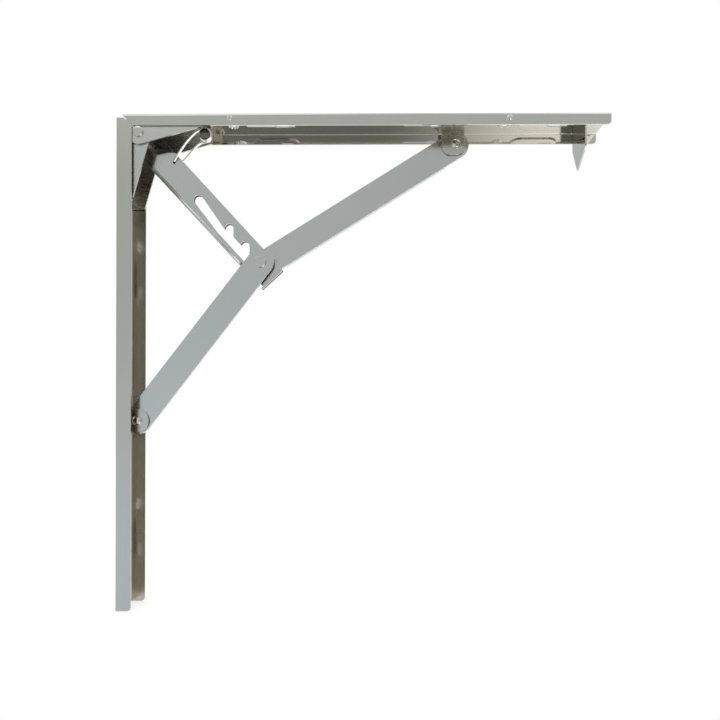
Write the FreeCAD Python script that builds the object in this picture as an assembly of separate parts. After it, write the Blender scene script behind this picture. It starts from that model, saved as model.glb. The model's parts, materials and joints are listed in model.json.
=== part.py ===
import FreeCAD, Part
import math
import os

# Drop leaf table bracket, in millimetres.
# X points out from the wall, Z up, Y across the channel (the front is -Y).
# The origin lies on the wall face, level with the hinge axis. The leaf is level at rest.

# Rails: pressed channels, the wall rail opens to +X and the leaf rail opens downwards
rail_width = 36.0
sheet = 1.2
bend_radius = 2.0
wall_flange = 13.0
wall_top = 11.0
wall_length = 404.5
leaf_flange = 10.0
leaf_start = 5.8
leaf_length = 400.0
end_radius = 3.2
mitre_gap = 1.0

# Hinge and arm pivots
hinge_from_wall = 18.0
hinge_below_leaf = 14.5
wall_pivot_drop = 237.5
wall_pivot_from_wall = 15.0
leaf_pivot_reach = 263.5
leaf_pivot_below_leaf = 17.0
fold_angle = 88.5
knee_bend = 20.5
knee_fold_from_hinge = 0.5

# Hinge brackets: pressings with two ears that taper to the rail's edge
ear_sheet = 1.5
ear_radius = 10.0
ear_length = 53.0
ear_gap = 0.2
bracket_web_start = 28.0
bracket_web_end = 45.0

# Arms
arm_sheet = 2.0
lower_arm_width = 22.4
upper_arm_width = 22.4
arm_lip = 2.4
arm_lip_sheet = 1.2
arm_lip_margin = 17.0

# Lock arm: sheet folded double, the front layer ends in a nose and the rear one in the hinge eye
lock_sheet = 1.2
lock_depth = 5.0
lock_front = -3.5
lock_left = 12.0
lock_right = 11.6
lock_tail = 17.0
nose_tip = 16.0
nose_corner = 22.5
nose_aside = -3.0
nose_shoulder = 4.0
nose_rounding = 1.5
slot_width = 8.0
slot_belly = 7.4
slot_end_gap = 1.0
slot_shoulder = 1.0
notch_count = 3
notch_pitch = 20.0
notch_offset = 2.2
notch_flank = 43.0
lock_rivet_along = 24.5
lock_rivet_aside = -4.9
hook_along = 32.0
hook_aside = 5.8
hook_hole_radius = 1.3

# Pins and rivets
hinge_pin_radius = 3.0
pivot_radius = 2.5
pivot_head_radius = 4.2
knee_radius = 3.4
knee_head_radius = 4.8
lock_rivet_radius = 2.5
lock_collar_radius = 4.0
head_height = 1.5
head_bevel = 0.6
spacer_wall = 1.6
knee_washer_radius = 7.0
knee_washer_sheet = 1.4

# Clevises
clevis_sheet = 1.5
wall_clevis_radius = 9.5
leaf_clevis_near = 11.5
leaf_clevis_far = 7.5
leaf_clevis_drop = 9.0
leaf_clevis_round = 7.0

# Screw holes, along each rail from the hinge axis
seat_radius = 5.5
seat_depth = 1.6
screw_radius = 2.6
screw_slot_length = 12.4
hole_spacing = 230.0
leaf_seat = 75.0
leaf_slot = 117.0
wall_seat = 80.0
wall_slot = 122.0
pad_length = 41.0
pad_width = 17.0
pad_depth = 1.0
pad_lead = 10.0
key_slot_length = 31.0
key_slot_width = 5.0
key_head_length = 10.0
key_head_width = 9.0
key_slot_gap = 1.5

# Guide tongue
tongue_from_end = 20.8
tongue_sheet = 1.2
tongue_rounding = 2.5
tongue_shoulder = 16.5
tongue_tip = 23.3
tongue_foot = 16.0

# Latch spring, its pin and the tab that carries the pin
wire_radius = 0.75
wire_sides = 12
coil_reach = 53.0
coil_rise = 1.0
coil_radius = 4.0
coil_front = -9.5
coil_pitch = 1.65
coil_turns = 1.5
tab_sheet = 1.0
tab_width = 8.0
tab_foot = 7.0
upper_leg_lead = 11.0
upper_leg_bend = (29.5, -9.0)
upper_leg_radii = [1.2, 8.0, 8.0]
lower_leg_lead = 5.0
lower_leg_bend = (36.0, -17.5)
lower_leg_end = (30.0, -23.0)
lower_leg_radii = [4.0, 4.0]
tab_margin = 1.6
tab_hole_radius = 1.8
pin_head_sheet = 0.8

# Clearances
running_fit = 0.05
layer_gap = 0.3
seat_gap = 0.05
pin_float = 0.1
tongue_side_gap = 0.8
tiny = 1e-6


def vec(x, y, z):
    return FreeCAD.Vector(x, y, z)


def along(point, angle, length):
    """Point at a length from another one, at an angle in degrees in the XZ plane."""
    turn = math.radians(angle)
    return (point[0] + length * math.cos(turn), point[1] + length * math.sin(turn))


def distance(p, q):
    return math.hypot(q[0] - p[0], q[1] - p[1])


def distance_xz(v, w):
    return math.hypot(w.x - v.x, w.z - v.z)


def folded(point):
    """Place of a leaf point, measured from the hinge, when the leaf is folded down."""
    turn = math.radians(fold_angle)
    return (
        point[0] * math.cos(turn) + point[1] * math.sin(turn),
        point[1] * math.cos(turn) - point[0] * math.sin(turn),
    )


# Pivots from the hinge axis, as (x, z)
wall_pivot = (wall_pivot_from_wall - hinge_from_wall, -wall_pivot_drop)
leaf_pivot = (leaf_pivot_reach, hinge_below_leaf - leaf_pivot_below_leaf)
leaf_pivot_folded = folded(leaf_pivot)


def arm_lengths(knee_drop):
    """Lengths of both arms if the knee folds to this depth below the hinge."""
    knee = (-knee_fold_from_hinge, -knee_drop)
    return distance(wall_pivot, knee), distance(knee, leaf_pivot_folded)


def excess_reach(knee_drop):
    """How far the arms, bent by knee_bend, reach beyond the two pivots at rest."""
    lower, upper = arm_lengths(knee_drop)
    bend = math.cos(math.radians(knee_bend))
    return math.sqrt(lower ** 2 + upper ** 2 + 2 * lower * upper * bend) - distance(wall_pivot, leaf_pivot)


def solve_knee_drop():
    """Depth of the folded knee at which the linkage closes both at rest and folded."""
    low = 0.0
    high = wall_pivot_drop
    for _ in range(60):
        middle = (low + high) / 2
        if excess_reach(middle) > 0:
            low = middle
        else:
            high = middle
    return (low + high) / 2


knee_drop = solve_knee_drop()
lower_arm_length, upper_arm_length = arm_lengths(knee_drop)


def solve_knee():
    """Knee at rest, on the hinge's side of the line between the two pivots."""
    span = distance(wall_pivot, leaf_pivot)
    foot = (lower_arm_length ** 2 - upper_arm_length ** 2 + span ** 2) / (2 * span)
    rise = math.sqrt(lower_arm_length ** 2 - foot ** 2)
    ux = (leaf_pivot[0] - wall_pivot[0]) / span
    uz = (leaf_pivot[1] - wall_pivot[1]) / span
    return (wall_pivot[0] + ux * foot - uz * rise, wall_pivot[1] + uz * foot + ux * rise)


knee = solve_knee()
knee_reach = distance((0, 0), knee)
upper_angle = math.degrees(math.atan2(leaf_pivot[1] - knee[1], leaf_pivot[0] - knee[0]))
lock_angle = math.degrees(math.atan2(knee[1], knee[0]) - math.asin(notch_offset / knee_reach))

# Layers across the channel, from the front
inner_half = rail_width / 2 - sheet
leaf_ear_outer = inner_half - ear_gap
wall_ear_outer = leaf_ear_outer - ear_sheet - ear_gap
ear_clear = wall_ear_outer - ear_sheet
lock_rear = lock_front + lock_depth
lower_rear = lock_front - layer_gap - knee_washer_sheet
lower_front = lower_rear - arm_sheet
upper_front = lock_rear + layer_gap + knee_washer_sheet
upper_rear = upper_front + arm_sheet

tab_front = lower_rear + layer_gap
wall_clevis_front = lower_front - layer_gap - clevis_sheet
leaf_clevis_front = upper_front - layer_gap - clevis_sheet

# Faces of the rails, as heights above the hinge axis and distances from the wall
leaf_top = hinge_below_leaf
leaf_under = leaf_top - sheet
leaf_edge = leaf_top - leaf_flange
leaf_end = leaf_start + leaf_length
mitre_run = wall_flange - leaf_start + mitre_gap
mitre_rise = leaf_flange - bend_radius
wall_inner = sheet - hinge_from_wall
wall_edge = wall_flange - hinge_from_wall

# Sizes that follow from the pieces beside them
hinge_head_radius = min(leaf_edge, -wall_edge) - layer_gap
spring_pin_radius = coil_radius - wire_radius - layer_gap
coil = (coil_reach, coil_rise)
knee_along = math.sqrt(knee_reach ** 2 - notch_offset ** 2)
hook = along(along((0, 0), lock_angle, hook_along), lock_angle + 90, hook_aside)


def at(point, y):
    """World point of a hinge-based (x, z) at a place across the channel."""
    return vec(hinge_from_wall + point[0], y, point[1])


def plate(points, y_front, thickness, rounding=0.0):
    """Plate with a straight-sided outline, its corners rounded, from y_front backwards."""
    corners = [at(p, y_front) for p in points]
    solid = Part.Face(Part.makePolygon(corners + corners[:1])).extrude(vec(0, thickness, 0))
    if rounding:
        solid = solid.makeFillet(rounding, [e for e in solid.Edges if crosses(e)])
    return solid


def crosses(edge):
    """True for a straight edge that runs across the channel."""
    if not isinstance(edge.Curve, Part.Line):
        return False
    ends = edge.Vertexes[0].Point - edge.Vertexes[1].Point
    return abs(ends.y) > 0.99 * ends.Length


def disc(point, radius, y_front, thickness):
    return Part.makeCylinder(radius, thickness, at(point, y_front), vec(0, 1, 0))


def link(p, q, width, y_front, thickness):
    """Flat bar with two full-round ends, centred on two pivots."""
    angle = math.degrees(math.atan2(q[1] - p[1], q[0] - p[0]))
    half = width / 2
    sides = [
        along(p, angle + 90, half),
        along(p, angle - 90, half),
        along(q, angle - 90, half),
        along(q, angle + 90, half),
    ]
    bar = plate(sides, y_front, thickness)
    ends = [disc(p, half, y_front, thickness), disc(q, half, y_front, thickness)]
    return bar.multiFuse(ends).removeSplitter()


def rivet_head(point, radius, y_face, outward):
    """Flat rivet head with a bevelled rim on a face; outward is -1 to the front and 1 to the rear."""
    edge = head_height - head_bevel
    up = vec(0, outward, 0)
    flat = Part.makeCylinder(radius, edge, at(point, y_face), up)
    rim = Part.makeCone(radius, radius - head_bevel, head_bevel, at(point, y_face + outward * edge), up)
    return flat.fuse(rim)


def rivet(point, shank_radius, head_radius, y_front, y_rear, heads):
    """Shank between two faces, with a flat head at the front, the rear or both."""
    body = disc(point, shank_radius, y_front, y_rear - y_front)
    if "front" in heads:
        body = body.fuse(rivet_head(point, head_radius, y_front, -1))
    if "rear" in heads:
        body = body.fuse(rivet_head(point, head_radius, y_rear, 1))
    return body.removeSplitter()


def ring(point, outer, inner, y_front, thickness):
    return disc(point, outer, y_front, thickness).cut(disc(point, inner, y_front, thickness))


def channel(flange, length):
    """U-channel along X from the origin: web on top at z = 0, flanges down, bends rounded."""
    half = rail_width / 2
    outer = Part.makeBox(length, rail_width, flange, vec(0, -half, -flange))
    outer = outer.makeFillet(bend_radius, top_edges(outer, 0))
    inner = Part.makeBox(length, 2 * inner_half, flange, vec(0, -inner_half, -flange - sheet))
    inner = inner.makeFillet(bend_radius - sheet, top_edges(inner, -sheet))
    return outer.cut(inner)


def top_edges(solid, height):
    """Edges along X at a height."""
    lengthwise = [e for e in solid.Edges if e.BoundBox.XLength > e.BoundBox.YLength]
    return [e for e in lengthwise if max(abs(v.Z - height) for v in e.Vertexes) < tiny]


def oval(x, length, width, z_top, depth):
    """Upright prism with round ends, centred at x on the channel's middle."""
    reach = (length - width) / 2
    bar = Part.makeBox(2 * reach, width, depth, vec(x - reach, -width / 2, z_top - depth))
    ends = [Part.makeCylinder(width / 2, depth, vec(x + s * reach, 0, z_top - depth)) for s in (-1, 1)]
    return bar.multiFuse(ends).removeSplitter()


def with_screw_seat(rail, x):
    """Dished round seat pressed inwards, with its screw hole."""
    top = vec(x, 0, 0)
    down = vec(0, 0, -1)
    bump = Part.makeCone(seat_radius + sheet, screw_radius + sheet, seat_depth + sheet / 2, top, down)
    dish = Part.makeCone(seat_radius, screw_radius, seat_depth, top, down)
    hole = Part.makeCylinder(screw_radius, 2 * (seat_depth + sheet), top, down)
    return rail.fuse(bump).cut(dish).cut(hole)


def with_slotted_pad(rail, x):
    """Oval pad pressed inwards with a screw slot; the pad starts pad_lead nearer to the hinge."""
    middle = x - pad_lead
    bump = oval(middle, pad_length, pad_width, 0, pad_depth + sheet)
    dish = oval(middle, pad_length - 2 * sheet, pad_width - 2 * sheet, 0, pad_depth)
    slot = oval(x, screw_slot_length, 2 * screw_radius, 0, 2 * (pad_depth + sheet))
    return rail.fuse(bump).cut(dish).cut(slot)


def with_holes(rail, seat, slot, end):
    """Pairs of a screw seat and a slotted pad, hole_spacing apart, for as long as a pad stops before the end."""
    while slot - pad_lead + pad_length / 2 < end:
        rail = with_screw_seat(rail, seat)
        rail = with_slotted_pad(rail, slot)
        seat += hole_spacing
        slot += hole_spacing
    return rail


def with_round_end(rail, x, flange):
    """Rounds the free corners of both flanges at a channel's far end."""
    free = vec(x, 0, -flange)
    across = [e for e in rail.Edges if crosses(e)]
    return rail.makeFillet(end_radius, [e for e in across if distance_xz(e.CenterOfMass, free) < tiny])


def leaf_rail():
    rail = channel(leaf_flange, leaf_length)
    rail.translate(vec(leaf_start, 0, 0))
    mitre = [(leaf_start, -bend_radius), (leaf_start + mitre_run, -leaf_flange), (leaf_start, -leaf_flange)]
    corners = [vec(x, -rail_width, z) for x, z in mitre]
    rail = rail.cut(Part.Face(Part.makePolygon(corners + corners[:1])).extrude(vec(0, 2 * rail_width, 0)))
    rail = with_round_end(rail, leaf_end, leaf_flange)
    tongue = leaf_end - tongue_from_end
    rail = with_holes(rail, hinge_from_wall + leaf_seat, hinge_from_wall + leaf_slot, tongue)
    key_end = hinge_from_wall + leaf_pivot_reach - leaf_clevis_near - key_slot_gap
    key = oval(key_end - key_slot_length / 2, key_slot_length, key_slot_width, 0, 2 * sheet)
    key = key.fuse(oval(key_end - key_head_length / 2, key_head_length, key_head_width, 0, 2 * sheet))
    rail = rail.cut(key)
    rail.translate(vec(0, 0, leaf_top))
    return rail


def wall_rail():
    """Built lying along X like the leaf rail, then stood up against the wall."""
    rail = channel(wall_flange, wall_length)
    drop = wall_top - leaf_edge
    corner = [(0, -wall_flange), (0, drop * mitre_run / mitre_rise - wall_flange), (drop, -wall_flange)]
    cut = [vec(x, -rail_width, z) for x, z in corner]
    rail = rail.cut(Part.Face(Part.makePolygon(cut + cut[:1])).extrude(vec(0, 2 * rail_width, 0)))
    rail = with_round_end(rail, wall_length, wall_flange)
    rail = with_holes(rail, wall_top + wall_seat, wall_top + wall_slot, wall_length)
    rail.rotate(vec(0, 0, 0), vec(0, 1, 0), 90)
    rail.rotate(vec(0, 0, 0), vec(0, 0, 1), 180)
    rail.translate(vec(0, 0, wall_top))
    return rail


def tangent(point, radius, side):
    """Where a line from a point touches a circle about the hinge; side is 1 for left and -1 for right."""
    turn = math.degrees(math.acos(radius / distance((0, 0), point)))
    bearing = math.degrees(math.atan2(point[1], point[0]))
    return along((0, 0), bearing + side * turn, radius)


def hinge_hole():
    return disc((0, 0), hinge_pin_radius + running_fit, -rail_width, 2 * rail_width)


def leaf_ear(y_front):
    """Ear under the leaf: round lobe at the hinge, lower edge rising to the rail's edge."""
    end = (ear_length, leaf_edge)
    outline = [
        (0, 0),
        tangent(end, ear_radius, -1),
        end,
        (ear_length, leaf_under),
        (-ear_radius, leaf_under),
        (-ear_radius, 0),
    ]
    ear = plate(outline, y_front, ear_sheet)
    return ear.fuse(disc((0, 0), ear_radius, y_front, ear_sheet)).removeSplitter()


def wall_ear(y_front):
    """Ear on the wall: round lobe at the hinge, outer edge falling back to the rail's edge."""
    end = (wall_edge, -ear_length)
    outline = [
        (0, 0),
        tangent(end, ear_radius, 1),
        end,
        (wall_inner, -ear_length),
        (wall_inner, ear_radius),
        (0, ear_radius),
    ]
    ear = plate(outline, y_front, ear_sheet)
    return ear.fuse(disc((0, 0), ear_radius, y_front, ear_sheet)).removeSplitter()


def leaf_hinge_bracket():
    front = leaf_ear(-leaf_ear_outer)
    rear = leaf_ear(leaf_ear_outer - ear_sheet)
    web = Part.makeBox(bracket_web_end - bracket_web_start, 2 * leaf_ear_outer, ear_sheet,
                       at((bracket_web_start, leaf_under - ear_sheet), -leaf_ear_outer))
    bracket = front.multiFuse([rear, web]).removeSplitter()
    bends = [e for e in top_edges(bracket, leaf_under) if abs(e.CenterOfMass.y) > leaf_ear_outer - tiny]
    return bracket.makeFillet(bend_radius - sheet, bends).cut(hinge_hole())


def wall_hinge_bracket():
    front = wall_ear(-wall_ear_outer)
    rear = wall_ear(wall_ear_outer - ear_sheet)
    web = Part.makeBox(ear_sheet, 2 * wall_ear_outer, bracket_web_end - bracket_web_start,
                       at((wall_inner, -bracket_web_end), -wall_ear_outer))
    return front.multiFuse([rear, web]).removeSplitter().cut(hinge_hole())


def hinge_pin():
    reach = leaf_ear_outer + pin_float
    return rivet((0, 0), hinge_pin_radius, hinge_head_radius, -reach, reach, ("front", "rear"))


def hinge_spacer(y_front, y_rear):
    bore = hinge_pin_radius + running_fit
    return ring((0, 0), hinge_pin_radius + spacer_wall, bore, y_front, y_rear - y_front)


def wall_clevis():
    """Clip on the wall rail: two round-ended tabs on a base."""
    x, z = wall_pivot
    r = wall_clevis_radius
    tabs = []
    for y in (wall_clevis_front, lower_rear + layer_gap):
        tab = plate([(wall_inner, z - r), (x, z - r), (x, z + r), (wall_inner, z + r)], y, clevis_sheet)
        tabs.append(tab.fuse(disc(wall_pivot, r, y, clevis_sheet)))
    depth = lower_rear + layer_gap + clevis_sheet - wall_clevis_front
    base = Part.makeBox(clevis_sheet, depth, 2 * r, at((wall_inner, z - r), wall_clevis_front))
    return base.multiFuse(tabs).removeSplitter().cut(pivot_hole(wall_pivot))


def pivot_hole(point):
    return disc(point, pivot_radius + running_fit, -rail_width, 2 * rail_width)


def wall_pivot_rivet():
    return rivet(wall_pivot, pivot_radius, pivot_head_radius, wall_clevis_front,
                 lower_rear + layer_gap + clevis_sheet, ("front", "rear"))


def leaf_clevis():
    """Clip under the leaf rail: two D-shaped tabs on a base."""
    x, z = leaf_pivot
    low = z - leaf_clevis_drop
    tabs = []
    for y in (leaf_clevis_front, upper_rear + layer_gap):
        corners = [(x - leaf_clevis_near, leaf_under), (x + leaf_clevis_far, leaf_under),
                   (x + leaf_clevis_far, low), (x - leaf_clevis_near, low)]
        tab = plate(corners, y, clevis_sheet)
        low_edges = [e for e in tab.Edges if crosses(e) and e.CenterOfMass.z < z]
        tabs.append(tab.makeFillet(leaf_clevis_round, low_edges))
    depth = upper_rear + layer_gap + clevis_sheet - leaf_clevis_front
    base = Part.makeBox(leaf_clevis_near + leaf_clevis_far, depth, clevis_sheet,
                        at((x - leaf_clevis_near, leaf_under - clevis_sheet), leaf_clevis_front))
    return base.multiFuse(tabs).removeSplitter().cut(pivot_hole(leaf_pivot))


def leaf_pivot_rivet():
    return rivet(leaf_pivot, pivot_radius, pivot_head_radius, leaf_clevis_front,
                 upper_rear + layer_gap + clevis_sheet, ("front", "rear"))


def lower_arm():
    arm = link(wall_pivot, knee, lower_arm_width, lower_front, arm_sheet)
    return arm.cut(pivot_hole(wall_pivot)).cut(disc(knee, knee_radius + seat_gap, lower_front, arm_sheet))


def upper_arm():
    """Flat arm with a stiffening lip bent back along its lower edge."""
    arm = link(knee, leaf_pivot, upper_arm_width, upper_front, arm_sheet)
    edge = -upper_arm_width / 2
    start = along(knee, upper_angle, arm_lip_margin)
    end = along(leaf_pivot, upper_angle, -arm_lip_margin)
    side = upper_angle + 90
    strip = [
        along(start, side, edge),
        along(end, side, edge),
        along(end, side, edge + arm_lip_sheet),
        along(start, side, edge + arm_lip_sheet),
    ]
    lip = plate(strip, upper_front, arm_sheet + arm_lip)
    arm = arm.fuse(lip).removeSplitter()
    return arm.cut(pivot_hole(leaf_pivot)).cut(disc(knee, knee_radius + seat_gap, upper_front, arm_sheet))


def lock_point(a, p):
    """Point on the lock arm: a along it from the hinge, p towards its upper right edge."""
    return along(along((0, 0), lock_angle, a), lock_angle + 90, p)


def lock_plate(points, y_front, thickness, rounding=0.0):
    return plate([lock_point(a, p) for a, p in points], y_front, thickness, rounding)


def lock_notch(a):
    """Round seat for the knee rivet at a place along the slot, and the flank that leads out of it."""
    seat = knee_radius + layer_gap
    turn = math.radians(notch_flank)
    rim = (a + seat * math.sin(turn), notch_offset + seat * math.cos(turn))
    foot = (rim[0] + rim[1] / math.tan(turn), 0.0)
    lead = lock_plate([(a, notch_offset), rim, foot, (a, -notch_offset)], lock_front, lock_depth)
    return disc(lock_point(a, notch_offset), seat, lock_front, lock_depth).fuse(lead)


def lock_slot():
    """Slot along the lock arm with hooked notches on its upper right side."""
    half = slot_width / 2
    middle = -knee_fold_from_hinge
    top = knee_drop - slot_end_gap
    notches = [knee_along - step * notch_pitch for step in range(notch_count)]
    bottom = knee_along + knee_radius + slot_end_gap
    outline = [
        (top, middle + half),
        (notches[-1] - half, -slot_shoulder),
        (notches[-1], 0.0),
        (bottom, 0.0),
        (bottom, -slot_belly / 2),
        (bottom - half, -slot_belly),
        (notches[-1] - half, -slot_belly),
        (top, middle - half),
    ]
    track = lock_plate(outline, lock_front, lock_depth)
    end = disc(lock_point(top, middle), half, lock_front, lock_depth)
    return track.multiFuse([end] + [lock_notch(a) for a in notches]).removeSplitter()


def lock_arm():
    """Sheet folded double along its lower left edge, with the nose in front and the hinge eye behind."""
    end = knee_along + lock_tail
    nose = [
        (nose_corner, -lock_left),
        (nose_tip, nose_aside),
        (nose_corner, lock_right - nose_shoulder),
        (nose_corner + nose_shoulder, lock_right),
        (end, lock_right),
        (end, -lock_left),
    ]
    front = lock_plate(nose, lock_front, lock_sheet, nose_rounding)
    rear_front = lock_rear - lock_sheet
    strip = [
        (0, -lock_right),
        (nose_corner, -lock_left),
        (end, -lock_left),
        (end, lock_right),
        (0, lock_right),
    ]
    eye = disc((0, 0), lock_right, rear_front, lock_sheet)
    rear = lock_plate(strip, rear_front, lock_sheet).fuse(eye)
    fold_start = nose_corner + nose_rounding
    fold_end = end - nose_rounding
    hem = [
        (fold_start, -lock_left),
        (fold_end, -lock_left),
        (fold_end, lock_sheet - lock_left),
        (fold_start, lock_sheet - lock_left),
    ]
    fold = lock_plate(hem, lock_front, lock_depth)
    arm = front.multiFuse([rear, fold]).removeSplitter()
    rivet_hole = disc(lock_point(lock_rivet_along, lock_rivet_aside), lock_rivet_radius + seat_gap,
                      lock_front, lock_depth)
    hook_hole = disc(hook, hook_hole_radius, lock_front, lock_sheet)
    return arm.cut(lock_slot()).cut(rivet_hole).cut(hook_hole).cut(hinge_hole())


def lock_arm_rivet():
    """Flush rivet with a collar that keeps the two layers apart."""
    place = lock_point(lock_rivet_along, lock_rivet_aside)
    shank = disc(place, lock_rivet_radius, lock_front, lock_depth)
    collar = disc(place, lock_collar_radius, lock_front + lock_sheet, lock_depth - 2 * lock_sheet)
    return shank.fuse(collar).removeSplitter()


def knee_rivet():
    """Front part of the knee rivet, through the lower arm and its washer."""
    return rivet(knee, knee_radius, knee_head_radius, lower_front, lock_front - layer_gap, ("front",))


def knee_rear_head():
    """Rear part of the knee rivet, through the rear washer and the upper arm."""
    return rivet(knee, knee_radius, knee_head_radius, lock_rear + layer_gap, upper_rear, ("rear",))


def knee_washer(y_front):
    return ring(knee, knee_washer_radius, knee_radius + seat_gap, y_front, knee_washer_sheet)


def guide_tongue():
    """Pointed plate across the leaf rail, with a foot on its web."""
    half = inner_half - tongue_side_gap
    x = leaf_end - tongue_from_end
    outline = [(-half, leaf_under), (half, leaf_under), (half, -tongue_shoulder), (0, -tongue_tip),
               (-half, -tongue_shoulder)]
    corners = [vec(x, y, z) for y, z in outline]
    blade = Part.Face(Part.makePolygon(corners + corners[:1])).extrude(vec(tongue_sheet, 0, 0))
    low = [e for e in blade.Edges if e.BoundBox.XLength > tongue_sheet / 2 and e.BoundBox.ZMax < 0]
    blade = blade.makeFillet(tongue_rounding, low)
    foot = Part.makeBox(tongue_foot, 2 * half, tongue_sheet, vec(x, -half, leaf_under - tongue_sheet))
    return blade.fuse(foot).removeSplitter()


def spring_tab():
    """Small angle under the leaf rail that carries the spring pin."""
    x = coil_reach - tab_width / 2
    low = coil_rise - spring_pin_radius - tab_margin
    corners = [(x, leaf_under), (x + tab_width, leaf_under), (x + tab_width, low), (x, low)]
    upright = plate(corners, tab_front, tab_sheet)
    corner_edges = [e for e in upright.Edges if crosses(e) and e.CenterOfMass.z < 0]
    upright = upright.makeFillet(tab_margin, corner_edges)
    foot = Part.makeBox(tab_width, tab_foot, tab_sheet, at((x, leaf_under - tab_sheet), tab_front))
    hole = disc(coil, tab_hole_radius + seat_gap, tab_front, tab_sheet)
    return upright.fuse(foot).removeSplitter().cut(hole)


def spring_pin():
    """Post with a flat head in front of the coil and a thin end riveted into the tab."""
    front = coil_front - wire_radius - layer_gap
    post = disc(coil, spring_pin_radius, front, tab_front - front)
    head = disc(coil, coil_radius, front - pin_head_sheet, pin_head_sheet)
    stem = disc(coil, tab_hole_radius, tab_front, tab_sheet)
    return post.multiFuse([head, stem]).removeSplitter()


def rounded_path(points, radii):
    """Edges of straight runs joined by tangent arcs."""
    edges = []
    start = points[0]
    for before, corner, after, radius in zip(points, points[1:], points[2:], radii):
        back = (before - corner).normalize()
        ahead = (after - corner).normalize()
        half_angle = back.getAngle(ahead) / 2
        middle = (back + ahead).normalize()
        centre = corner + middle * (radius / math.sin(half_angle))
        entry = corner + back * (radius / math.tan(half_angle))
        leave = corner + ahead * (radius / math.tan(half_angle))
        edges.append(Part.LineSegment(start, entry).toShape())
        edges.append(Part.Arc(entry, centre - middle * radius, leave).toShape())
        start = leave
    edges.append(Part.LineSegment(start, points[-1]).toShape())
    return edges


def latch_spring():
    """Bent wire: a coil on the pin, one leg hooked into the nose and one leg inside the fold."""
    helix = Part.makeHelix(coil_pitch, coil_pitch * coil_turns, coil_radius)
    helix.rotate(vec(0, 0, 0), vec(1, 1, 1), 240)
    helix.translate(at(coil, coil_front))
    slope = coil_pitch / (2 * math.pi * coil_radius)
    hook_front = lock_front - wire_radius - layer_gap
    pocket = (lock_front + lock_rear) / 2
    top = at((coil[0], coil[1] + coil_radius), coil_front)
    bottom = at((coil[0], coil[1] - coil_radius), coil_front + coil_pitch * coil_turns)
    upper = [at(hook, lock_front + lock_sheet + wire_radius), at(hook, hook_front),
             at(upper_leg_bend, hook_front), top - vec(1, slope, 0) * upper_leg_lead, top]
    lower = [bottom, bottom + vec(-1, slope, 0) * lower_leg_lead, at(lower_leg_bend, pocket),
             at(lower_leg_end, pocket)]
    edges = rounded_path(upper, upper_leg_radii) + helix.Edges + rounded_path(lower, lower_leg_radii)
    turns = [2 * math.pi * side / wire_sides for side in range(wire_sides + 1)]
    section = Part.makePolygon([upper[0] + vec(math.cos(t), 0, math.sin(t)) * wire_radius for t in turns])
    return Part.Wire(edges).makePipeShell([section], True, False)


def build():
    return {
        "wall_rail": wall_rail(),
        "wall_hinge_bracket": wall_hinge_bracket(),
        "hinge_pin": hinge_pin(),
        "hinge_spacer_front": hinge_spacer(-ear_clear, lock_rear - lock_sheet - layer_gap),
        "hinge_spacer_rear": hinge_spacer(lock_rear + layer_gap, ear_clear),
        "wall_clevis": wall_clevis(),
        "wall_pivot_rivet": wall_pivot_rivet(),
        "leaf_rail": leaf_rail(),
        "leaf_hinge_bracket": leaf_hinge_bracket(),
        "leaf_clevis": leaf_clevis(),
        "leaf_pivot_rivet": leaf_pivot_rivet(),
        "guide_tongue": guide_tongue(),
        "spring_tab": spring_tab(),
        "spring_pin": spring_pin(),
        "latch_spring": latch_spring(),
        "lower_arm": lower_arm(),
        "knee_rivet": knee_rivet(),
        "knee_washer": knee_washer(lower_rear),
        "upper_arm": upper_arm(),
        "knee_rear_washer": knee_washer(lock_rear + layer_gap),
        "knee_rear_head": knee_rear_head(),
        "lock_arm": lock_arm(),
        "lock_arm_rivet": lock_arm_rivet(),
    }


os.makedirs("parts", exist_ok=True)
for name, shape in build().items():
    shape.exportStep("parts/" + name + ".step")
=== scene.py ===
import json
import math

import bpy
import numpy as np
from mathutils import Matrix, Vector


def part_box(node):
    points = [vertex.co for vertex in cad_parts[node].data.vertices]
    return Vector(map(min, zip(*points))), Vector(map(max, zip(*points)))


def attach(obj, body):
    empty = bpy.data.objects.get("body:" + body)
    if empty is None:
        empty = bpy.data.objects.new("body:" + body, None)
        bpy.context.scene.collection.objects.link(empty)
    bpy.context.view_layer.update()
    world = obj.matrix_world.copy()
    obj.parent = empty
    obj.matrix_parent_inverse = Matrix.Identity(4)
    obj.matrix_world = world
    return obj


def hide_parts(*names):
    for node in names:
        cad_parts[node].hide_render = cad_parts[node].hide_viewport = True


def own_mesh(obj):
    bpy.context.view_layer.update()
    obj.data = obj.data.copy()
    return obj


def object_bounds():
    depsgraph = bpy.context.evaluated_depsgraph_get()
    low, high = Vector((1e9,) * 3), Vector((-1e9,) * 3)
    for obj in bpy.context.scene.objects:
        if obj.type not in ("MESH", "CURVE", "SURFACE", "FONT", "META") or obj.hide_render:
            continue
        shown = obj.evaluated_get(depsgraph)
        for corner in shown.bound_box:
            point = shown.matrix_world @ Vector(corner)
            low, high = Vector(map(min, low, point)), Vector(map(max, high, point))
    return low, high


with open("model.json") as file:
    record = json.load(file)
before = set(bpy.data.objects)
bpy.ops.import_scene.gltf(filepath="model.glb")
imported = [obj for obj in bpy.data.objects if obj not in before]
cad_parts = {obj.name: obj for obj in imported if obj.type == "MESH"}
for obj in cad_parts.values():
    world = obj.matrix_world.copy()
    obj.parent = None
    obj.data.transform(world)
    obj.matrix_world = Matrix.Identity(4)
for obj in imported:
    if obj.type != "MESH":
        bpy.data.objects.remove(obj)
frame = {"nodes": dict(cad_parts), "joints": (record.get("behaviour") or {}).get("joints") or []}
CAD_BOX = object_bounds()

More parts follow.
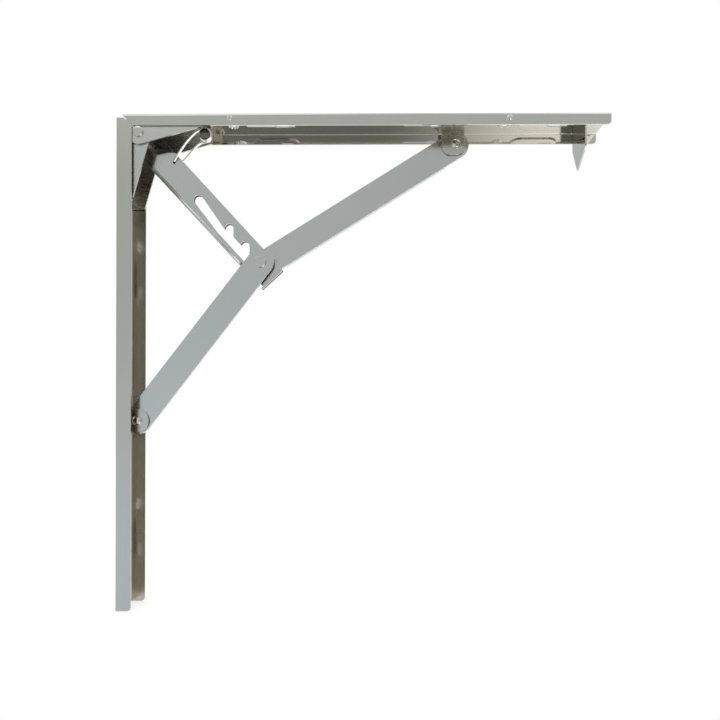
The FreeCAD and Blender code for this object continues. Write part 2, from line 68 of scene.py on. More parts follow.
bl_info = {
    "name": "Drop leaf bracket dresser",
    "version": (1, 0, 0),
    "blender": (4, 5, 0),
    "location": "View3D > Sidebar > Bracket",
    "description": "Plated finishes, rivets, latch spring and studio for a folding drop leaf bracket",
    "category": "Object",
}

MM = 0.001

JOINTS = {joint["name"]: joint for joint in frame["joints"]}
HINGE = np.array(JOINTS["leaf_fold"]["pos_m"])

# Hinge brackets, clevises and the spring's tab
PRESSINGS = ("wall_hinge_bracket", "leaf_hinge_bracket", "wall_clevis", "leaf_clevis", "spring_tab")

# Sleeves, washers and the lock arm's flush rivet, which share the rivets' plating
SLEEVES = ("hinge_spacer_front", "hinge_spacer_rear", "knee_washer", "knee_rear_washer", "lock_arm_rivet")

# Each turned rivet: its body, its heads, its shank's radius, and whether a groove rings its button
RIVETS = {
    "hinge_pin": ("wall_frame", ("front", "rear"), 3.0 * MM, False),
    "wall_pivot_rivet": ("wall_frame", ("front", "rear"), 2.5 * MM, True),
    "leaf_pivot_rivet": ("leaf_frame", ("front", "rear"), 2.5 * MM, True),
    "knee_rivet": ("lower_link", ("front",), 3.4 * MM, False),
    "knee_rear_head": ("upper_link", ("rear",), 3.4 * MM, False),
}

# Height of a rivet's head, from its top to the shank
HEAD_HEIGHT = 1.5 * MM

# Angle of each arm above X, in degrees
ARM_ANGLES = {"lower_arm": 52.4, "upper_arm": 31.9, "lock_arm": -47.4}

# Rolling streaks: their length on long and on short pieces, their width, and their relief
LONG = 90 * MM
SHORT = LONG / 4
FINE = 1.2 * MM
RELIEF_STRENGTH = 0.05
RELIEF_DEPTH = 0.02 * MM

# Plating: scale of the clouds on most pieces and on the arms, their tones, and the tone of rubbed edges,
# which is partly real wear and partly a painted highlight along every edge
PIECE_HAZE = 25.0
ARM_HAZE = 18.0
HAZE_DARK = 0.97
HAZE_LIGHT = 1.03
WORN_AND_HIGHLIGHT_TONE = 1.5

# Sockets of a Mix node that mixes colours: its two colours and its result
MIX_FIRST = 6
MIX_SECOND = 7
MIX_RESULT = 2

# Thickness of the pressed sheet
SHEET = 1.2 * MM

# Screw seats along the leaf and down the wall, from the hinge axis
LEAF_SEATS = (75 * MM, 305 * MM)
WALL_SEATS = (80 * MM, 310 * MM)

# Section of a seat's torn rim, as (radius, height over the web)
RIM_SECTION = np.array([(5.9, -0.3), (5.6, 0.0), (5.1, 0.25), (4.6, 0.7), (4.2, 1.15), (3.7, 1.35),
                        (3.2, 1.25), (2.9, 0.9), (2.8, 0.3), (2.8, -0.3)]) * MM

# The flange dimples lie beside the leaf's seats, this far below its top face
DIMPLE_DROP = 4.0 * MM

# Fold of the lock arm: its ends along the arm
FOLD_ENDS = (24.0 * MM, 159.7 * MM)

# Section of the fold, as (y, distance aside): middle, half sizes, front lip, and rear lip with the inside
FOLD_MIDDLE = (-1.0 * MM, -10.7 * MM)
FOLD_HALF = (2.64 * MM, 2.0 * MM)
FOLD_LIP = np.array([(-3.51, -9.8)]) * MM
FOLD_INSIDE = np.array([(1.51, -9.8), (1.38, -9.8), (1.2, -10.9), (-3.2, -10.9), (-3.38, -9.8)]) * MM

# Guide tongue: heights of its shoulders, its point as (y, z), and the easing of its five corners
TONGUE_FRONT = -13.0 * MM
TONGUE_REAR = -3.0 * MM
TONGUE_TIP = (4.0 * MM, -25.0 * MM)
TONGUE_EASING = np.array([0, 2.5, 1.2, 2.5, 0]) * MM

# Legs of the latch spring: how each bows at its free end, and how far it runs straight on from the coil
UPPER_BOW = np.array([5.5, -0.8, 9.5]) * MM
UPPER_LEAD = 9 * MM
LOWER_BOW = np.array([7.0, 0, 6.4]) * MM
LOWER_LEAD = 8 * MM

# Points along the upper leg, the coil and the lower leg, and how many are averaged to soften the line
UPPER_POINTS = 60
COIL_POINTS = 72
LOWER_POINTS = 48
SOFTENING = 7

# Each soft lamp: its place, the side of its square and its power in watts
LAMPS = {
    "key_panel": ((-0.8, -1.0, 1.9), 2.0, 10.0),
    "fill_panel": ((1.4, -0.6, 1.7), 1.6, 6.0),
}

# Strength of the light from all round and of the floor's own white, and the floor's roughness
SOFT_LIGHT = 0.6
FLOOR_GLOW = 0.5
FLOOR_ROUGHNESS = 0.9


class BracketFinish(bpy.types.PropertyGroup):
    """Colours and gloss of the plated steel."""

    wall_colour: bpy.props.FloatVectorProperty(
        name="Wall rail colour", description="Plating of the wall channel", subtype="COLOR", size=3,
        default=(0.535, 0.505, 0.44), min=0, max=1)
    rail_colour: bpy.props.FloatVectorProperty(
        name="Leaf rail colour", description="Plating of the leaf channel", subtype="COLOR", size=3,
        default=(0.575, 0.55, 0.49), min=0, max=1)
    arm_colour: bpy.props.FloatVectorProperty(
        name="Arm colour", description="Plating of the three arms", subtype="COLOR", size=3,
        default=(0.57, 0.565, 0.525), min=0, max=1)
    pressing_colour: bpy.props.FloatVectorProperty(
        name="Pressing colour", description="Plating of ears, clevises and tongue", subtype="COLOR", size=3,
        default=(0.565, 0.545, 0.485), min=0, max=1)
    rivet_colour: bpy.props.FloatVectorProperty(
        name="Rivet colour", description="Plating of rivets and washers", subtype="COLOR", size=3,
        default=(0.60, 0.57, 0.515), min=0, max=1)
    wire_colour: bpy.props.FloatVectorProperty(
        name="Wire colour", description="Bright nickel of the latch spring", subtype="COLOR", size=3,
        default=(0.80, 0.745, 0.67), min=0, max=1)
    # The spring pin's near-black colour is painted shade for the hollow middle of the coil
    pin_shade_colour: bpy.props.FloatVectorProperty(
        name="Pin colour", description="Oiled steel of the spring pin", subtype="COLOR", size=3,
        default=(0.17, 0.14, 0.11), min=0, max=1)
    rail_roughness: bpy.props.FloatProperty(
        name="Rail roughness", description="Roughness of the polished leaf channel and of the small pieces",
        subtype="FACTOR", default=0.09, min=0, max=1)
    wall_roughness: bpy.props.FloatProperty(
        name="Wall roughness", description="Roughness of the wall channel", subtype="FACTOR",
        default=0.22, min=0, max=1)
    pressing_roughness: bpy.props.FloatProperty(
        name="Pressing roughness", description="Roughness of the ears and clevises", subtype="FACTOR",
        default=0.26, min=0, max=1)
    arm_roughness: bpy.props.FloatProperty(
        name="Arm roughness", description="Roughness of the satin arms", subtype="FACTOR",
        default=0.2, min=0, max=1)
    fold_roughness: bpy.props.FloatProperty(
        name="Fold roughness", description="Roughness of the lock arm's stretched fold", subtype="FACTOR",
        default=0.35, min=0, max=1)
    # This rounding radius also sets how wide the painted edge highlight runs
    edge_round: bpy.props.FloatProperty(
        name="Edge rounding", description="Radius of the burnished sheet edges", unit="LENGTH",
        default=0.35 * MM, min=0, precision=5)


class SpringSizes(bpy.types.PropertyGroup):
    """Wire and coil of the latch spring, in the bracket's own frame."""

    wire_radius: bpy.props.FloatProperty(
        name="Wire radius", description="Half the wire's thickness", unit="LENGTH",
        default=1.1 * MM, precision=5)
    coil_radius: bpy.props.FloatProperty(
        name="Coil radius", description="Radius of the coil's middle line", unit="LENGTH",
        default=4.7 * MM, precision=5)
    coil_turns: bpy.props.FloatProperty(
        name="Coil turns", description="Turns of wire around the spring pin", default=1.5)
    coil_pitch: bpy.props.FloatProperty(
        name="Coil pitch", description="Advance of the coil in one turn", unit="LENGTH",
        default=2.3 * MM, precision=5)
    coil_front: bpy.props.FloatProperty(
        name="Coil front", description="Place of the coil's first turn across the channel",
        unit="LENGTH", default=-9.5 * MM, precision=5)
    hook: bpy.props.FloatVectorProperty(
        name="Hook", description="Upper leg's end at the lock arm's hole, from the hinge",
        subtype="TRANSLATION", size=3, default=(25.92 * MM, -4.65 * MM, -19.65 * MM))
    tip: bpy.props.FloatVectorProperty(
        name="Tip", description="Lower leg's end on the lock arm's edge, from the hinge",
        subtype="TRANSLATION", size=3, default=(33.2 * MM, -4.75 * MM, -20.2 * MM))
    tube_sides: bpy.props.IntProperty(
        name="Tube sides", description="Facets around the wire", default=14, min=6)


class StageSettings(bpy.types.PropertyGroup):
    """Floor, light and camera of the studio."""

    floor_colour: bpy.props.FloatVectorProperty(
        name="Floor colour", description="Pale studio floor", subtype="COLOR", size=3,
        default=(0.9, 0.9, 0.9))
    floor_reach: bpy.props.FloatProperty(
        name="Floor reach", description="How far the floor goes behind and beside the bracket",
        unit="LENGTH", default=6.0)
    floor_front: bpy.props.FloatProperty(
        name="Floor front", description="How far the floor comes towards the camera", unit="LENGTH",
        default=0.02)
    sky_colour: bpy.props.FloatVectorProperty(
        name="Sky colour", description="Studio above and behind the camera, as polished steel shows it",
        subtype="COLOR", size=3, default=(0.63, 0.685, 0.72))
    paper_colour: bpy.props.FloatVectorProperty(
        name="Paper colour", description="White paper behind the bracket, as polished steel shows it",
        subtype="COLOR", size=3, default=(0.94, 0.98, 1.0))
    room_colour: bpy.props.FloatVectorProperty(
        name="Room colour", description="Dim room through a doorway, seen in the wall channel",
        subtype="COLOR", size=3, default=(0.14, 0.09, 0.055))
    shade_colour: bpy.props.FloatVectorProperty(
        name="Shade colour", description="Shaded ground below the camera, seen in the leaf channel",
        subtype="COLOR", size=3, default=(0.30, 0.33, 0.34))
    low_sky_colour: bpy.props.FloatVectorProperty(
        name="Low sky colour", description="Paler studio at the camera's own height",
        subtype="COLOR", size=3, default=(0.78, 0.91, 1.06))
    bright_colour: bpy.props.FloatVectorProperty(
        name="Bright colour", description="Bright ground beyond the leaf's free end",
        subtype="COLOR", size=3, default=(2.0, 2.05, 2.2))
    camera_place: bpy.props.FloatVectorProperty(
        name="Camera place", description="Where the camera stands", subtype="TRANSLATION", size=3,
        default=(0.2031, -0.5380, -0.2540))
    camera_turn: bpy.props.FloatProperty(
        name="Camera turn", description="Turn of the view towards the wall", subtype="ANGLE",
        default=math.radians(0.305))
    camera_tilt: bpy.props.FloatProperty(
        name="Camera tilt", description="Upward tilt of the view", subtype="ANGLE",
        default=math.radians(0.436))
    camera_lens: bpy.props.FloatProperty(
        name="Lens", description="Focal length in millimetres on a 36 mm sensor", default=31.88)
    camera_shift: bpy.props.FloatVectorProperty(
        name="Camera shift", description="Sideways and upward shift, as shares of the frame", size=2,
        default=(0.0, 0.105))


def add_piece(name, points, faces, body, slot, material, smooth=True):
    """Mesh from whole arrays, riding on a body; faces is a list of index arrays."""
    mesh = bpy.data.meshes.new(name)
    mesh.from_pydata(points.tolist(), [], [face for block in faces for face in block.tolist()])
    mesh.polygons.foreach_set("use_smooth", np.full(len(mesh.polygons), smooth))
    mesh.update()
    piece = bpy.data.objects.new(name, mesh)
    bpy.context.collection.objects.link(piece)
    piece.data.materials.append(material)
    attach(piece, body)
    return piece


def ring_faces(rows, sides):
    """Quads between neighbouring rings: ring i joins ring i + 1, side j joins side j + 1 round the ring."""
    row, side = np.meshgrid(np.arange(rows - 1), np.arange(sides), indexing="ij")
    after = (side + 1) % sides
    here, beyond = row * sides, (row + 1) * sides
    quads = np.stack([here + side, here + after, beyond + after, beyond + side])
    return quads.reshape(4, -1).T


def end_fans(rows, sides):
    """Triangles that close the first and the last ring onto the two points after them."""
    step = np.arange(sides)
    following = (step + 1) % sides
    last = (rows - 1) * sides
    first_pole = rows * sides
    start = np.stack([np.full(sides, first_pole), following, step], 1)
    finish = np.stack([np.full(sides, first_pole + 1), last + step, last + following], 1)
    return np.concatenate([start, finish])


def turned(profile, centre, sides=48):
    """Surface of revolution about a line along Y through centre.

    Point (i, j) is centre + (r_i cos t_j, y_i, r_i sin t_j) for the profile's radii r and places y.
    The profile runs from the front to the rear and starts and ends on the axis, which closes both poles."""
    turn = np.linspace(0, 2 * np.pi, sides, endpoint=False)
    radius, place = profile[1:-1, 0:1], profile[1:-1, 1:2]
    rows = len(place)
    depth = np.broadcast_to(place, (rows, sides))
    rings = np.stack([radius * np.cos(turn), depth, radius * np.sin(turn)], -1)
    poles = np.array([[0, profile[0, 1], 0], [0, profile[-1, 1], 0]])
    points = np.concatenate([rings.reshape(-1, 3), poles]) + centre
    return points, [ring_faces(rows, sides)[:, ::-1], end_fans(rows, sides)[:, ::-1]]


def tube(path, radius, sides):
    """Round wire: a circle carried along a path.

    The circle at point p with tangent T is p + radius (N cos t + B sin t), where N is T x K made unit length,
    B is T x N, and K is a fixed slanting direction that the wire never follows."""
    slant = np.array([0.25, 0.88, 0.41])
    tangent = np.gradient(path, axis=0)
    tangent /= np.linalg.norm(tangent, axis=1, keepdims=True)
    normal = np.cross(tangent, slant)
    normal /= np.linalg.norm(normal, axis=1, keepdims=True)
    binormal = np.cross(tangent, normal)
    turn = np.linspace(0, 2 * np.pi, sides, endpoint=False)[None, :, None]
    circle = normal[:, None, :] * np.cos(turn) + binormal[:, None, :] * np.sin(turn)
    rings = path[:, None, :] + radius * circle
    points = np.concatenate([rings.reshape(-1, 3), path[:1], path[-1:]])
    return points, [ring_faces(len(path), sides), end_fans(len(path), sides)]


def bezier(points, count):
    """Cubic curve: sum of the four Bernstein terms of its four points."""
    t = np.linspace(0, 1, count)[:, None]
    a, b, c, d = (np.array(p) for p in points)
    return a * (1 - t) ** 3 + 3 * b * t * (1 - t) ** 2 + 3 * c * t ** 2 * (1 - t) + d * t ** 3


def new_group(name, inputs, outputs):
    """Empty shader node group with named sockets; an input is (name, type, default or None)."""
    tree = bpy.data.node_groups.new(name, "ShaderNodeTree")
    for label, kind, default in inputs:
        socket = tree.interface.new_socket(name=label, in_out="INPUT", socket_type=kind)
        if default is not None:
            socket.default_value = default
    for label, kind in outputs:
        tree.interface.new_socket(name=label, in_out="OUTPUT", socket_type=kind)
    return tree, tree.nodes.new("NodeGroupInput"), tree.nodes.new("NodeGroupOutput")


def rolling_streaks():
    """Group: fine streaks left by the rolling mill, from noise stretched along one direction.

    The roughness goes from smooth to rough over the middle of the noise, from 0.3 to 0.7."""
    found = bpy.data.node_groups.get("rolling_streaks")
    if found:
        return found
    tree, given, result = new_group(
        "rolling_streaks",
        [("Vector", "NodeSocketVector", None), ("Smooth", "NodeSocketFloat", 0.15),
         ("Rough", "NodeSocketFloat", 0.3)],
        [("Roughness", "NodeSocketFloat"), ("Height", "NodeSocketFloat")])
    noise = tree.nodes.new("ShaderNodeTexNoise")
    noise.inputs["Scale"].default_value = 1.0
    noise.inputs["Detail"].default_value = 4.0
    spread = tree.nodes.new("ShaderNodeMapRange")
    spread.inputs["From Min"].default_value = 0.3
    spread.inputs["From Max"].default_value = 0.7
    tree.links.new(given.outputs["Vector"], noise.inputs["Vector"])
    tree.links.new(noise.outputs["Fac"], spread.inputs["Value"])
    tree.links.new(given.outputs["Smooth"], spread.inputs["To Min"])
    tree.links.new(given.outputs["Rough"], spread.inputs["To Max"])
    tree.links.new(spread.outputs["Result"], result.inputs["Roughness"])
    tree.links.new(noise.outputs["Fac"], result.inputs["Height"])
    return tree


def plating_haze():
    """Group: slow cloudy variation of a plated colour, between a darker and a lighter tone of it."""
    found = bpy.data.node_groups.get("plating_haze")
    if found:
        return found
    tree, given, result = new_group(
        "plating_haze",
        [("Vector", "NodeSocketVector", None), ("Scale", "NodeSocketFloat", 30.0),
         ("Dark", "NodeSocketColor", (0.35, 0.35, 0.33, 1)),
         ("Light", "NodeSocketColor", (0.45, 0.45, 0.43, 1))],
        [("Color", "NodeSocketColor")])
    noise = tree.nodes.new("ShaderNodeTexNoise")
    noise.inputs["Detail"].default_value = 3.0
    mix = tree.nodes.new("ShaderNodeMix")
    mix.data_type = "RGBA"
    tree.links.new(given.outputs["Vector"], noise.inputs["Vector"])
    tree.links.new(given.outputs["Scale"], noise.inputs["Scale"])
    tree.links.new(noise.outputs["Fac"], mix.inputs["Factor"])
    tree.links.new(given.outputs["Dark"], mix.inputs[MIX_FIRST])
    tree.links.new(given.outputs["Light"], mix.inputs[MIX_SECOND])
    tree.links.new(mix.outputs[MIX_RESULT], result.inputs["Color"])
    return tree


def edge_wear_and_highlight():
    """Group: sheet edges made bright in colour where the rounded normal leaves the face's own normal, partly
    as rubbed wear and partly as a painted highlight, on concave corners too.

    The share of bright metal goes from none to all as the cosine between the two falls from 0.95 to 0.75."""
    found = bpy.data.node_groups.get("edge_wear_and_highlight")
    if found:
        return found
    tree, given, result = new_group(
        "edge_wear_and_highlight",
        [("Color", "NodeSocketColor", (0.4, 0.4, 0.4, 1)), ("Worn highlight", "NodeSocketColor", (0.7, 0.7, 0.68, 1)),
         ("Radius", "NodeSocketFloat", 0.35 * MM)],
        [("Color", "NodeSocketColor"), ("Normal", "NodeSocketVector")])
    bevel = tree.nodes.new("ShaderNodeBevel")
    bevel.samples = 4
    face = tree.nodes.new("ShaderNodeNewGeometry")
    agree = tree.nodes.new("ShaderNodeVectorMath")
    agree.operation = "DOT_PRODUCT"
    share = tree.nodes.new("ShaderNodeMapRange")
    share.inputs["From Min"].default_value = 0.95
    share.inputs["From Max"].default_value = 0.75
    mix = tree.nodes.new("ShaderNodeMix")
    mix.data_type = "RGBA"
    tree.links.new(given.outputs["Radius"], bevel.inputs["Radius"])
    tree.links.new(bevel.outputs["Normal"], agree.inputs[0])
    tree.links.new(face.outputs["True Normal"], agree.inputs[1])
    tree.links.new(agree.outputs["Value"], share.inputs["Value"])
    tree.links.new(share.outputs["Result"], mix.inputs["Factor"])
    tree.links.new(given.outputs["Color"], mix.inputs[MIX_FIRST])
    tree.links.new(given.outputs["Worn highlight"], mix.inputs[MIX_SECOND])
    tree.links.new(mix.outputs[MIX_RESULT], result.inputs["Color"])
    tree.links.new(bevel.outputs["Normal"], result.inputs["Normal"])
    return tree


def tone(colour, factor):
    """A colour made darker or lighter, with its alpha."""
    return tuple(min(1.0, c * factor) for c in colour) + (1.0,)


def place_group(nodes, tree):
    """Group node that shows a node group in a material."""
    node = nodes.new("ShaderNodeGroup")
    node.node_tree = tree
    return node


def plated_steel(name, colour, roughness, streak, turn=0.0, haze=PIECE_HAZE, spread=0.03):
    """Plated sheet: rolling streaks in the gloss, a cloudy colour, and edges made bright in colour, partly as
    rubbed wear and partly as a painted highlight.

    streak is the size of a streak along X, Y and Z, and turn is the angle of the rolling direction above X.
    The roughness varies by spread to both sides."""
    finish = bpy.context.scene.bracket_finish
    material = bpy.data.materials.new(name)
    material.use_nodes = True
    nodes = material.node_tree.nodes
    links = material.node_tree.links
    shader = nodes["Principled BSDF"]
    shader.inputs["Metallic"].default_value = 1.0
    place = nodes.new("ShaderNodeTexCoord")
    mapping = nodes.new("ShaderNodeMapping")
    mapping.vector_type = "TEXTURE"
    mapping.inputs["Scale"].default_value = streak
    mapping.inputs["Rotation"].default_value = (0, -math.radians(turn), 0)
    streaks = place_group(nodes, rolling_streaks())
    streaks.inputs["Smooth"].default_value = roughness - spread
    streaks.inputs["Rough"].default_value = roughness + spread
    cloud = place_group(nodes, plating_haze())
    cloud.inputs["Scale"].default_value = haze
    cloud.inputs["Dark"].default_value = tone(colour, HAZE_DARK)
    cloud.inputs["Light"].default_value = tone(colour, HAZE_LIGHT)
    # Edges lightened in the base colour: partly rubbed wear, partly a painted highlight
    edge = place_group(nodes, edge_wear_and_highlight())
    edge.inputs["Worn highlight"].default_value = tone(colour, WORN_AND_HIGHLIGHT_TONE)
    edge.inputs["Radius"].default_value = finish.edge_round
    bump = nodes.new("ShaderNodeBump")
    bump.inputs["Strength"].default_value = RELIEF_STRENGTH
    bump.inputs["Distance"].default_value = RELIEF_DEPTH
    links.new(place.outputs["Object"], mapping.inputs["Vector"])
    links.new(mapping.outputs["Vector"], streaks.inputs["Vector"])
    links.new(place.outputs["Object"], cloud.inputs["Vector"])
    links.new(cloud.outputs["Color"], edge.inputs["Color"])
    links.new(edge.outputs["Color"], shader.inputs["Base Color"])
    links.new(streaks.outputs["Roughness"], shader.inputs["Roughness"])
    links.new(streaks.outputs["Height"], bump.inputs["Height"])
    links.new(edge.outputs["Normal"], bump.inputs["Normal"])
    links.new(bump.outputs["Normal"], shader.inputs["Normal"])
    return material


def dress(nodes, material):
    """Put one finish on several CAD nodes."""
    for name in nodes:
        mesh = frame["nodes"][name].data
        mesh.materials.clear()
        mesh.materials.append(material)


class BRACKET_OT_rails(bpy.types.Operator):
    """Plate the wall rail and the leaf rail, with streaks along their length"""

    bl_idname = "bracket.rails"
    bl_label = "Dress rails"

    def execute(self, context):
        finish = context.scene.bracket_finish
        upright, level = (FINE, FINE, LONG), (LONG, FINE, FINE)
        wall = plated_steel("wall_rail_plate", finish.wall_colour, finish.wall_roughness, upright)
        leaf = plated_steel("leaf_rail_plate", finish.rail_colour, finish.rail_roughness, level)
        dress(("wall_rail",), wall)
        dress(("leaf_rail",), leaf)
        return {"FINISHED"}


class BRACKET_OT_pressings(bpy.types.Operator):
    """Plate the hinge brackets, clevises and spring tab"""

    bl_idname = "bracket.pressings"
    bl_label = "Dress pressings"

    def execute(self, context):
        finish = context.scene.bracket_finish
        colour, roughness = finish.pressing_colour, finish.pressing_roughness
        dress(PRESSINGS, plated_steel("pressing_plate", colour, roughness, (SHORT, FINE, FINE)))
        return {"FINISHED"}


class BRACKET_OT_arms(bpy.types.Operator):
    """Plate the lower, upper and lock arms, each with streaks along its length"""

    bl_idname = "bracket.arms"
    bl_label = "Dress arms"

    def execute(self, context):
        finish = context.scene.bracket_finish
        colour, roughness = finish.arm_colour, finish.arm_roughness
        for name, angle in ARM_ANGLES.items():
            plate = plated_steel(name + "_plate", colour, roughness, (LONG, FINE, FINE), angle, ARM_HAZE)
            dress((name,), plate)
        return {"FINISHED"}


class BRACKET_OT_rivets(bpy.types.Operator):
    """Turn the rivets and plate the sleeves and washers"""

    bl_idname = "bracket.rivets"
    bl_label = "Build rivets"

    def execute(self, context):
        finish = context.scene.bracket_finish
        plate = plated_steel("rivet_plate", finish.rivet_colour, finish.rail_roughness, (FINE, FINE, FINE))
        dress(SLEEVES, plate)
        for name, (body, heads, shank, ringed) in RIVETS.items():
            profile, centre = rivet_profile(name, heads, shank, ringed)
            piece = add_piece("turned_" + name, *turned(profile, centre), body, "rivet_steel", plate)
            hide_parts(name)
        return {"FINISHED"}


def head_profile(radius, ringed, steps=6):
    """Head from its axis outwards, as (radius, depth below the top).

    A ringed head has a flat button in a groove, and a plain one is nearly flat. Both end in a quarter-round
    rim of radius bend, whose top lies at depth top."""
    rim = np.linspace(0, np.pi / 2, steps)
    if ringed:
        top, bend = 0.7 * MM, 0.3 * MM
        button, groove = 0.64 * radius, 1.1 * MM
        inner = [(0, 0), (button - 0.3 * MM, 0), (button - 0.08 * MM, 0.08 * MM), (button, 0.3 * MM),
                 (button + 0.12 * MM, groove), (0.82 * radius, groove), (0.86 * radius, 0.75 * MM)]
    else:
        top, bend = 0.1 * MM, 0.5 * MM
        inner = [(0, 0.0), (0.18 * radius, 0.02 * MM), (0.6 * radius, 0.06 * MM)]
    outer = np.stack([radius - bend + bend * np.sin(rim), top + bend * (1 - np.cos(rim))], 1)
    return np.concatenate([np.array(inner), outer])


def rivet_profile(name, heads, shank, ringed):
    """Profile from the front to the rear, and the axis, of a rivet that fills a CAD node's box."""
    low, high = (np.array(corner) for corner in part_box(name))
    head = head_profile((high[0] - low[0]) / 2, ringed)
    middle = (low + high) / 2
    if "front" in heads:
        front = np.concatenate([head + (0, low[1]), [[head[-1, 0], low[1] + HEAD_HEIGHT]],
                                [[shank, low[1] + HEAD_HEIGHT]]])
    else:
        front = np.array([[0.0, low[1]], [shank, low[1]]])
    if "rear" in heads:
        rear = np.concatenate([head * (1, -1) + (0, high[1]), [[head[-1, 0], high[1] - HEAD_HEIGHT]],
                               [[shank, high[1] - HEAD_HEIGHT]]])
    else:
        rear = np.array([[0.0, high[1]], [shank, high[1]]])
    return np.concatenate([front, rear[::-1]]), np.array([middle[0], 0, middle[2]])


class BRACKET_OT_seats(bpy.types.Operator):
    """Raise the fluted burrs round the screw seats on the inner side of both webs"""

    bl_idname = "bracket.seats"
    bl_label = "Build screw seats"

    def execute(self, context):
        finish = context.scene.bracket_finish
        plate = plated_steel("seat_plate", finish.rivet_colour, finish.rail_roughness, (FINE, FINE, FINE))
        for body, rail, centre, axes, number in seat_places():
            points, faces = fluted_rim(centre, axes)
            add_piece("%s_seat_%d" % (rail, number), points, faces, body, "rail_steel", plate)
        return {"FINISHED"}


def seat_places():
    """Centres of the four seats on the webs' inner faces, with two axes in the web and one out of it."""
    leaf_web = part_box("leaf_rail")[1][2] - SHEET
    wall_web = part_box("wall_rail")[0][0] + SHEET
    out, across, up = np.eye(3)
    for number, reach in enumerate(LEAF_SEATS, 1):
        centre = HINGE + (reach, 0, leaf_web - HINGE[2])
        yield "leaf_frame", "leaf_rail", centre, (out, -across, -up), number
    for number, drop in enumerate(WALL_SEATS, 1):
        centre = np.array([wall_web, 0, HINGE[2] - drop])
        yield "wall_frame", "wall_rail", centre, (across, up, out), number


def fluted_rim(centre, axes, flutes=9, sides=108, swell=0.05, lift=0.3):
    """Torn rim of a pierced hole: a closed section carried round the hole, waved by the flutes.

    With (r, h) on the section, w = cos(flutes t) and s = h / (the greatest h), held between 0 and 1, the
    radius is r (1 + swell w s) and the height over the web is h (1 + lift w s)."""
    turn = np.linspace(0, 2 * np.pi, sides, endpoint=False)
    wave = np.cos(flutes * turn)[None, :]
    height = RIM_SECTION[:, 1:2]
    lifted = np.clip(height / height.max(), 0, 1)
    radius = RIM_SECTION[:, 0:1] * (1 + swell * wave * lifted)
    rise = height * (1 + lift * wave * lifted)
    first, second, out = axes
    spread = (radius * np.cos(turn))[..., None] * first + (radius * np.sin(turn))[..., None] * second
    rings = centre + spread + rise[..., None] * out
    closed = np.concatenate([rings, rings[:1]])
    faces = ring_faces(len(closed), sides) % (len(rings) * sides)
    return rings.reshape(-1, 3), [faces[:, ::-1]]


class BRACKET_OT_tongue(bpy.types.Operator):
    """Cut the guide tongue, with its point behind the middle and its foot on the web"""

    bl_idname = "bracket.tongue"
    bl_label = "Build guide tongue"

    def execute(self, context):
        finish = context.scene.bracket_finish
        colour, roughness = finish.pressing_colour, finish.rail_roughness
        plate = plated_steel("tongue_plate", colour, roughness, (FINE, FINE, SHORT))
        low, high = (np.array(corner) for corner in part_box("guide_tongue"))
        front, rear, top = low[1], high[1], high[2]
        shoulders = (front, TONGUE_FRONT), (rear, TONGUE_REAR)
        corners = np.array([(front, top), shoulders[0], TONGUE_TIP, shoulders[1], (rear, top)])
        blade = rounded(corners, TONGUE_EASING)
        foot = np.array([(front, top), (front, top - SHEET), (rear, top - SHEET), (rear, top)])
        points, faces = slab(blade, low[0], low[0] + SHEET)
        foot_points, foot_faces = slab(foot, low[0] + SHEET, high[0])
        faces += [block + len(points) for block in foot_faces]
        points = np.concatenate([points, foot_points])
        piece = add_piece("tongue_blade", points, faces, "leaf_frame", "bracket_steel", plate, smooth=False)
        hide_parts("guide_tongue")
        return {"FINISHED"}


def rounded(corners, radii, steps=7):
    """Outline with its corners eased.

    A corner c becomes the curve (1-t)^2 a + 2 t (1-t) c + t^2 b, where a and b lie a radius away from it on
    its two sides. Points that fall together are kept once."""
    before = np.roll(corners, 1, 0) - corners
    after = np.roll(corners, -1, 0) - corners
    a = corners + before / np.linalg.norm(before, axis=1, keepdims=True) * radii[:, None]
    b = corners + after / np.linalg.norm(after, axis=1, keepdims=True) * radii[:, None]
    t = np.linspace(0, 1, steps)[None, :, None]
    curve = (1 - t) ** 2 * a[:, None] + 2 * t * (1 - t) * corners[:, None] + t ** 2 * b[:, None]
    outline = curve.reshape(-1, 2)
    apart = np.linalg.norm(outline - np.roll(outline, 1, 0), axis=1) > 1e-7
    return outline[apart]


def slab(outline, start, end):
    """Plate with a (y, z) outline, counter-clockwise seen from +X, between two places along X."""
    count = len(outline)
    points = np.concatenate([np.insert(outline, 0, start, axis=1), np.insert(outline, 0, end, axis=1)])
    step = np.arange(count)
    following = (step + 1) % count
    sides = np.stack([step, following, following + count, step + count], 1)
    return points, [step[None, ::-1], step[None, :] + count, sides]


class BRACKET_OT_fold(bpy.types.Operator):
    """Round the folded edge of the lock arm"""

    bl_idname = "bracket.fold"
    bl_label = "Build lock arm fold"

    def execute(self, context):
        finish = context.scene.bracket_finish
        angle = ARM_ANGLES["lock_arm"]
        colour, roughness = finish.arm_colour, finish.fold_roughness
        plate = plated_steel("fold_plate", colour, roughness, (LONG, FINE, FINE), angle, ARM_HAZE)
        points, faces = slab(fold_outline(), *FOLD_ENDS)
        turn = math.radians(angle)
        along = np.array([math.cos(turn), 0, math.sin(turn)])
        across = np.array([0.0, 1.0, 0.0])
        aside = np.array([-math.sin(turn), 0, math.cos(turn)])
        points = HINGE + points @ np.stack([along, across, aside])
        add_piece("lock_arm_fold", points, faces, "lock_link", "arm_steel", plate)
        return {"FINISHED"}


def fold_outline(steps=25):
    """Section of the fold, as (y, distance aside): |y'|^4 + |p'|^4 = 1 outside, let into the arm's edge."""
    turn = np.linspace(np.pi, 2 * np.pi, steps)
    across, down = FOLD_HALF
    round_y = FOLD_MIDDLE[0] + across * np.sign(np.cos(turn)) * np.sqrt(np.abs(np.cos(turn)))
    round_p = FOLD_MIDDLE[1] - down * np.sqrt(np.abs(np.sin(turn)))
    return np.concatenate([FOLD_LIP, np.stack([round_y, round_p], 1), FOLD_INSIDE])


